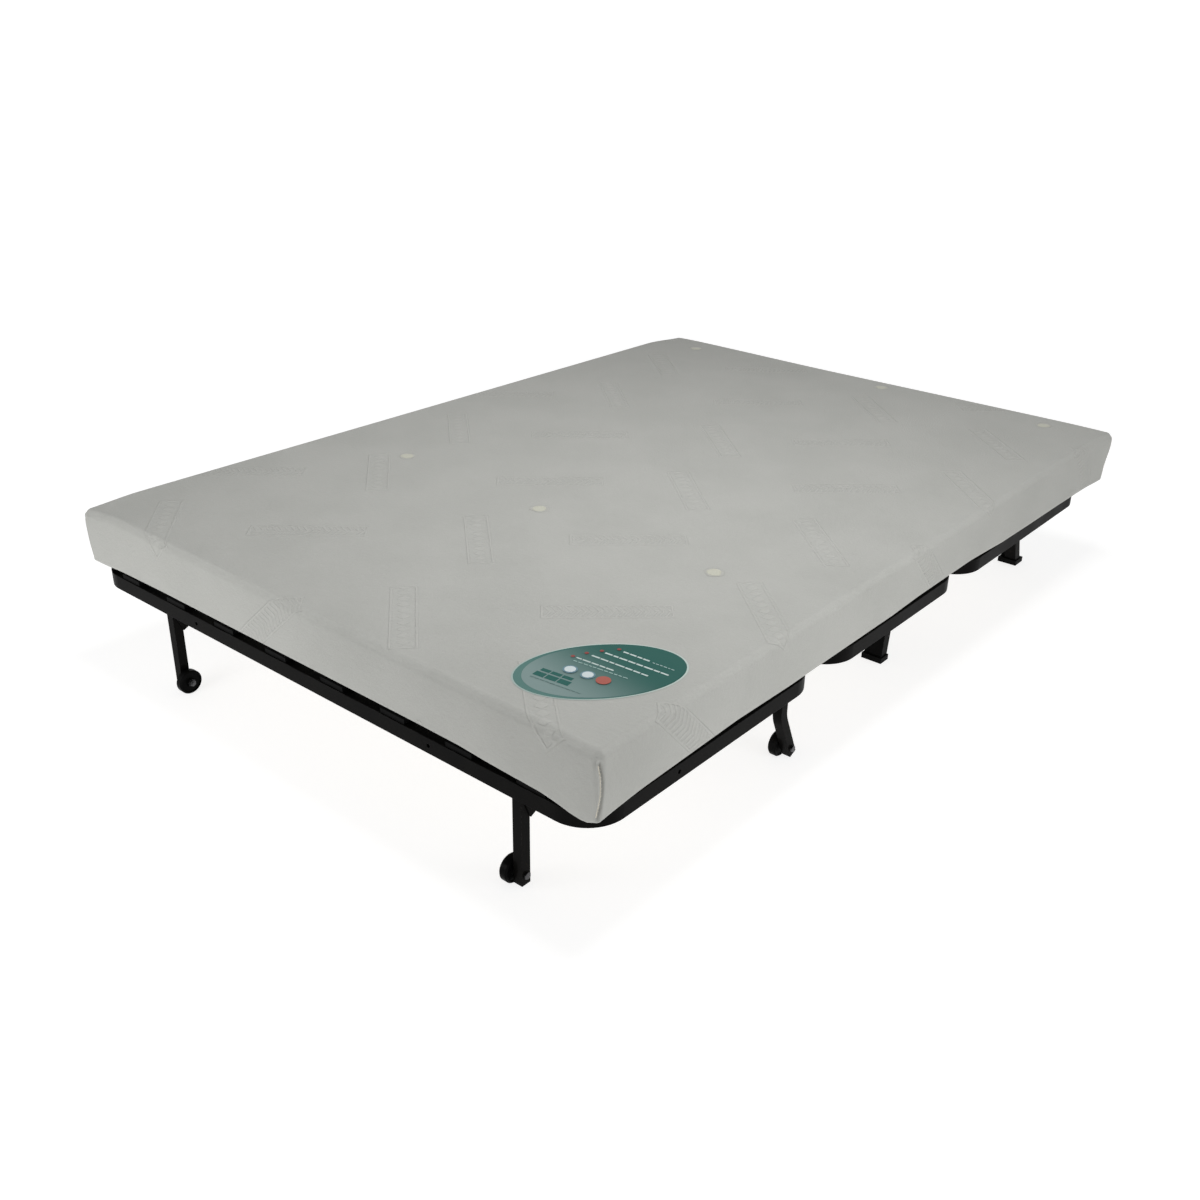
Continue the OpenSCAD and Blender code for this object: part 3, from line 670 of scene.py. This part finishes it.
def foam_piece(name, y_low, y_high, bend, front_end, rear_end, material):
    """One closed length of the mattress, a lattice block whose shell is shaped by foam_shape."""
    xs = grid_line(FOAM_LOW.x, FOAM_HIGH.x)
    ys = length_line(y_low, y_high, bend, front_end, rear_end)
    zs = grid_line(FOAM_LOW.z, FOAM_HIGH.z, LAYER)
    nx, ny, nz = len(xs), len(ys), len(zs)
    index, points = {}, []

    def at(i, j, k):
        key = (i, j, k)
        if key not in index:
            index[key] = len(points)
            points.append((xs[i], ys[j], zs[k]))
        return index[key]

    faces, charts = [], []

    def sheet(count_a, count_b, corner, chart, flip):
        for a in range(count_a - 1):
            for b in range(count_b - 1):
                loop = [corner(a, b), corner(a + 1, b), corner(a + 1, b + 1), corner(a, b + 1)]
                loop = loop[::-1] if flip else loop
                faces.append(tuple(at(*c) for c in loop))
                charts.append([chart(*c) for c in loop])

    # The cloth's map is laid flat: the four sides run on from the top, and the bottom lies beside it.
    below = FOAM_HIGH.z - zs
    x0, x1, y0, y1 = FOAM_LOW.x, FOAM_HIGH.x, FOAM_LOW.y, FOAM_HIGH.y
    sheet(nx, ny, lambda a, b: (a, b, nz - 1), lambda i, j, k: (xs[i], ys[j]), False)
    sheet(nx, ny, lambda a, b: (a, b, 0), lambda i, j, k: (xs[i], ys[j] + BOTTOM_CHART), True)
    sheet(nx, nz, lambda a, b: (a, 0, b), lambda i, j, k: (xs[i], y0 - below[k]), False)
    sheet(nx, nz, lambda a, b: (a, ny - 1, b), lambda i, j, k: (xs[i], y1 + below[k]), True)
    sheet(ny, nz, lambda a, b: (0, a, b), lambda i, j, k: (x0 - below[k], ys[j]), True)
    sheet(ny, nz, lambda a, b: (nx - 1, a, b), lambda i, j, k: (x1 + below[k], ys[j]), False)
    shaped = foam_shape(np.array(points))
    made = new_object(name, shaped, faces, material)
    uv = made.data.uv_layers.new(name="cloth")
    flat = np.array([c for chart in charts for c in chart], float)
    uv.data.foreach_set("uv", flat.ravel())
    cut = y_low if rear_end else y_high
    for poly in made.data.polygons:
        if abs(poly.normal.y) > 0.9 and abs(poly.center.y - cut) < MM:
            poly.use_smooth = False
    return made


def mark_split_edges(made, y_cut):
    """The two lengths of mattress meet at y_cut; sharp edges there keep the cloth's shading unbroken."""
    mesh = made.data
    sharp = mesh.attributes.get("sharp_edge") or mesh.attributes.new("sharp_edge", "BOOLEAN", "EDGE")
    on_cut = [abs(v.co.y - y_cut) < 0.5 * MM for v in mesh.vertices]
    sharp.data.foreach_set("value", [all(on_cut[v] for v in e.vertices) for e in mesh.edges])


def blend_over_fold(piece):
    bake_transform(piece)


def make_mattress(ticking):
    fold = (FOLD.y - FOLD_REACH, FOLD.y + FOLD_REACH, FOLD_ROW)
    back = (BACK.y - BACK_REACH, BACK.y + BACK_REACH, BACK_ROW)
    front = foam_piece("mattress_front_length", FOAM_LOW.y, SPLIT_Y, fold, True, False, ticking)
    rear = foam_piece("mattress_rear_length", SPLIT_Y, FOAM_HIGH.y, back, False, True, ticking)
    for piece in (front, rear):
        mark_split_edges(piece, SPLIT_Y)
    blend_over_fold(front)
    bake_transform(rear)
    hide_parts("mattress_front", "mattress_fold", "mattress_middle")
    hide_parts("mattress_rear")


def make_corner_seams(thread):
    """The cream thread that shows along the lip of each upright corner seam, with its stitches."""
    for sx, side in ((-1, "left"), (1, "right")):
        for sy, end in ((-1, "front"), (1, "rear")):
            levels = np.linspace(0.10, 0.80, 44)
            bow = seam_line(levels) - SEAM_W * 1.1
            flat = []
            for level, b in zip(levels, bow):
                x = sx * (FOAM_HIGH.x + min(b, 0))
                y = sy * (FOAM_HIGH.y - max(b, 0))
                flat.append((x, y, FOAM_LOW.z + level * (FOAM_HIGH.z - FOAM_LOW.z)))
            line = foam_shape(np.array(flat))
            parts = [tube(line, THREAD_R, 8)]
            for k in range(2, len(line) - 2, 3):
                p = Vector(line[k])
                reach = Vector((-sx * sy * 2.4 * MM, 1.2 * MM, 1.6 * MM))
                middle = p + Vector((sx, sy, 0)) * 0.5 * MM
                parts.append(tube([p - reach, middle, p + reach], STITCH_R, 5))
            seam = new_object(f"corner_seam_{end}_{side}", *joined(parts), thread)
            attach(seam, "front_section" if sy < 0 else "rear_section")


# ---------------------------------------------------------------- label and tack marks

LABEL_AT = (0.5442, -0.8160)
LABEL_HALF = (0.1447, 0.0895)
LABEL_TURN = 52.5
LABEL_LIFT = 0.5 * MM
INK_LIFT = 0.2 * MM
INNER_SHIFT = 0.0055
BULLET_R = 3.6 * MM
BADGE_R = 12.5 * MM
BADGE_FACE_R = 9.5 * MM
RIM_R = 19 * MM
RIM_LIFT = 0.7 * MM
CORE_R = 14.5 * MM
CORE_LIFT = 1.1 * MM
MARK_THICK = 1.6 * MM
# Rows of print, in metres from the middle of the label: start, end, width, dashes.
BRIGHT_ROWS = [((-0.013, 0.072), (0.041, 0.076), 3.6, 4), ((-0.033, 0.049), (0.092, 0.060), 3.6, 8)]
BRIGHT_ROWS += [((-0.044, 0.028), (0.069, 0.036), 3.4, 7), ((-0.058, 0.006), (0.017, 0.013), 3.2, 5)]
FINE_ROWS = [((0.046, 0.075), (0.089, 0.079), 2.0, 6), ((-0.055, -0.005), (0.050, 0.008), 2.0, 11)]
FAINT_ROWS = [((-0.073, -0.088), (0.025, -0.077), 1.8, 10)]
DARK_ROWS = [((-0.075, -0.060), (-0.013, -0.052), 8.5, 3), ((-0.076, -0.075), (-0.007, -0.066), 13.0, 3)]
BULLETS = [(-0.022, 0.073), (-0.040, 0.050), (-0.054, 0.028), (-0.064, 0.005)]
BADGES = [(-0.038, -0.031), (-0.005, -0.026), (0.025, -0.023)]
MARK_SPOTS = [(-0.443, -0.346), (0.001, -0.376), (0.460, -0.388)]
MARK_SPOTS += [(0.077, 0.942), (0.554, 0.928), (-0.543, 0.911)]
PATCH_RINGS = 6
OVAL_STEPS = 72
DISC_STEPS = 28
LUMP_STEPS = 40
DASH_GAP = 2.2 * MM
PRINT_FADE = 78


def patch(outline, lift, thick, centre):
    """A thin closed patch on the mattress top: outline points round a centre, in metres on the bed."""
    n = len(outline)
    rings = PATCH_RINGS
    verts, faces = [], []
    for r in range(1, rings + 1):
        share = r / rings
        for x, y in outline:
            px, py = centre[0] + (x - centre[0]) * share, centre[1] + (y - centre[1]) * share
            p = foam_top(px, py)
            verts.append((p[0], p[1], p[2] + lift))
    p = foam_top(*centre)
    verts.append((p[0], p[1], p[2] + lift))
    hub = len(verts) - 1
    for k in range(n):
        faces.append((hub, k, (k + 1) % n))
        for r in range(rings - 1):
            a, b = r * n + k, r * n + (k + 1) % n
            faces.append((a, a + n, b + n, b))
    base = len(verts)
    verts += [(x, y, z - thick) for x, y, z in verts]
    faces += [tuple(base + i for i in reversed(face)) for face in list(faces)]
    rim = (rings - 1) * n
    for k in range(n):
        a, b = rim + k, rim + (k + 1) % n
        faces.append((b, a, base + a, base + b))
    return verts, faces


def ellipse(cx, cy, a, b, turn, steps=OVAL_STEPS):
    c, s = math.cos(math.radians(turn)), math.sin(math.radians(turn))
    ring = []
    for k in range(steps):
        t = 2 * math.pi * k / steps
        u, v = a * math.cos(t), b * math.sin(t)
        ring.append((cx + u * c - v * s, cy + u * s + v * c))
    return ring


def bar_outline(cx, cy, length, width, turn):
    c, s = math.cos(math.radians(turn)), math.sin(math.radians(turn))
    ring = []
    for u, v in ((-1, -1), (0, -1), (1, -1), (1, 0), (1, 1), (0, 1), (-1, 1), (-1, 0)):
        a, b = u * length / 2, v * width / 2
        ring.append((cx + a * c - b * s, cy + a * s + b * c))
    return ring


def label_uv(made):
    layer = made.data.uv_layers.new(name="label")
    for loop in made.data.loops:
        co = made.data.vertices[loop.vertex_index].co
        layer.data[loop.index].uv = (co.x - LABEL_AT[0], co.y - LABEL_AT[1])


def ink(name, outlines, lift, material):
    parts = []
    for outline, centre in outlines:
        parts.append(patch(outline, lift, INK_LIFT, centre))
    verts, faces = joined(parts)
    made = new_object(name, verts, faces, material, smooth=False)
    label_uv(made)
    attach(made, "front_section")
    return made


def at_label(u, v):
    return (LABEL_AT[0] + u, LABEL_AT[1] + v)


def label_disc(u, v, r):
    c = at_label(u, v)
    return (ellipse(*c, r, r, 0, DISC_STEPS), c)


def dashes(rows, rng):
    """Rows of plain dashes of uneven length, which stand for print."""
    found = []
    for start, end, width, count in rows:
        cuts = sorted([0.0, 1.0] + [(k + rng.uniform(-0.2, 0.2)) / count for k in range(1, count)])
        way = (end[0] - start[0], end[1] - start[1])
        turn = math.degrees(math.atan2(way[1], way[0]))
        length = math.hypot(*way)
        for low, high in zip(cuts, cuts[1:]):
            middle = (low + high) / 2
            c = at_label(start[0] + way[0] * middle, start[1] + way[1] * middle)
            found.append((bar_outline(*c, (high - low) * length - DASH_GAP, width * MM, turn), c))
    return found


def label_discs(spots, r):
    return [label_disc(u, v, r) for u, v in spots]


def label_oval(centre, inset_a, inset_b):
    a, b = LABEL_HALF
    return [(ellipse(*centre, a - inset_a, b - inset_b, LABEL_TURN), centre)]


def make_label():
    """A plain printed oval: teal shades with dashes, bullets and round badges, and no lettering."""
    c, s = math.cos(math.radians(LABEL_TURN)), math.sin(math.radians(LABEL_TURN))
    inner_at = (LABEL_AT[0] + INNER_SHIFT * c, LABEL_AT[1] + INNER_SHIFT * s)
    rng = random.Random(SEED + 5)
    # From the mattress up: name, tone at one end, tone at the other end, shapes.
    layers = [
        ("rim", (0.30, 0.37, 0.35), (0.40, 0.47, 0.44), label_oval(LABEL_AT, 0, 0)),
        ("band", (0.070, 0.155, 0.140), (0.016, 0.080, 0.068), label_oval(LABEL_AT, 3 * MM, 3 * MM)),
        ("ground", (0.160, 0.225, 0.218), (0.014, 0.080, 0.067), label_oval(inner_at, 11 * MM, 5.5 * MM)),
        ("dark_print", (0.012, 0.085, 0.072), (0.010, 0.075, 0.064), dashes(DARK_ROWS, rng)),
        ("bright_print", (0.36, 0.45, 0.43), (0.44, 0.52, 0.50), dashes(BRIGHT_ROWS, rng)),
        ("fine_print", (0.25, 0.38, 0.36), (0.28, 0.40, 0.38), dashes(FINE_ROWS, rng)),
        ("faint_print", (0.12, 0.20, 0.19), (0.13, 0.21, 0.20), dashes(FAINT_ROWS, rng)),
        ("bullets", (0.22, 0.055, 0.05), (0.20, 0.05, 0.045), label_discs(BULLETS, BULLET_R)),
        ("discs", (0.11, 0.20, 0.24), (0.12, 0.21, 0.25), label_discs(BADGES[:2], BADGE_R)),
        ("disc_warm", (0.30, 0.08, 0.06), (0.31, 0.09, 0.07), label_discs(BADGES[2:], BADGE_R)),
        ("disc_faces", (0.46, 0.52, 0.53), (0.50, 0.55, 0.56), label_discs(BADGES[:2], BADGE_FACE_R)),
    ]
    for k, (part, low, high, shapes) in enumerate(layers):
        name = f"label_{part}"
        ink(name, shapes, LABEL_LIFT + k * INK_LIFT, print_material(name, low, high, PRINT_FADE))


def cotton_material(name, low, high):
    s = Shader(name, low, 0.92, Sheen_Weight=0.2)
    at = s.object_coords()
    fuzz = s.noise(at, 500.0, 3.0)
    tone = s.mix(s.ramp(fuzz, 0.35, 0.7), low, high)
    return s.finish(color=tone, normal=s.bump(fuzz, 0.6 * MM, 0.7))


def lumpy_ring(x, y, r, rng):
    """A round outline with a slightly uneven edge."""
    waves = [(k, rng.uniform(0, 6.28), rng.uniform(0.02, 0.06)) for k in (2, 3, 5)]
    ring = []
    for k in range(LUMP_STEPS):
        t = 2 * math.pi * k / LUMP_STEPS
        reach = r * (1 + sum(size * math.sin(n * t + phase) for n, phase, size in waves))
        ring.append((x + reach * math.cos(t), y + reach * math.sin(t)))
    return ring


def make_tack_marks():
    """Round spots where the cover is tacked to the foam: a raised rim of knit and a cream middle."""
    rim = cotton_material("tack_rim", *TACK_RIM)
    core = cotton_material("tack_core", *TACK_CORE)
    rng = random.Random(SEED)
    for k, (x, y) in enumerate(MARK_SPOTS):
        for part, cotton, r, lift in (("rim", rim, RIM_R, RIM_LIFT), ("core", core, CORE_R, CORE_LIFT)):
            verts, faces = patch(lumpy_ring(x, y, r, rng), lift, MARK_THICK, (x, y))
            mark = new_object(f"tack_{part}_{k + 1}", verts, faces, cotton)
            if abs(y - FOLD.y) < FOLD_REACH:
                blend_over_fold(mark)
            else:
                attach(mark, "rear_section" if y > BACK.y else "front_section")


# ---------------------------------------------------------------- CAD nodes

def dress_cad_nodes():
    finish = {
        "black_steel": powder_coat_material(),
        "zinc": zinc_material(),
        "black_plastic": moulded_plastic_material("holder_plastic", 0.40, 0.55),
        "wheel_plastic": moulded_plastic_material("wheel_plastic", 0.24, 0.40),
        "birch": birch_material(),
    }
    for row in frame["record"]["subparts"]:
        node = row["node"]
        if row["material_slot"] not in finish:
            continue
        thing = frame["nodes"][node]
        material = finish[row["material_slot"]]
        for slot in thing.material_slots:
            slot.material = material


def make_floor():
    """A round floor that sweeps up into a low wall far behind the bed on every side."""
    steps = FLOOR_STEPS
    profile = [(r, 0.0) for r in FLOOR_RINGS]
    for a in np.linspace(0.1, math.pi / 2, 14):
        profile.append((FLOOR_FLAT + FLOOR_SWEEP * math.sin(a), FLOOR_SWEEP - FLOOR_SWEEP * math.cos(a)))
    profile.append((FLOOR_FLAT + FLOOR_SWEEP, FLOOR_WALL))
    verts = [(0, 0, 0)]
    faces = []
    for r, z in profile:
        for k in range(steps):
            a = 2 * math.pi * k / steps
            verts.append((r * math.cos(a), r * math.sin(a), z))
    for k in range(steps):
        n = (k + 1) % steps
        faces.append((0, 1 + k, 1 + n))
        for j in range(len(profile) - 1):
            a, b = 1 + j * steps, 1 + (j + 1) * steps
            faces.append((a + k, b + k, b + n, a + n))
    floor = new_object("floor", verts, faces, floor_material())


make_camera()
make_lights()
make_floor()
dress_cad_nodes()
make_mattress(ticking_material())
make_corner_seams(thread_material())
make_label()
make_tack_marks()
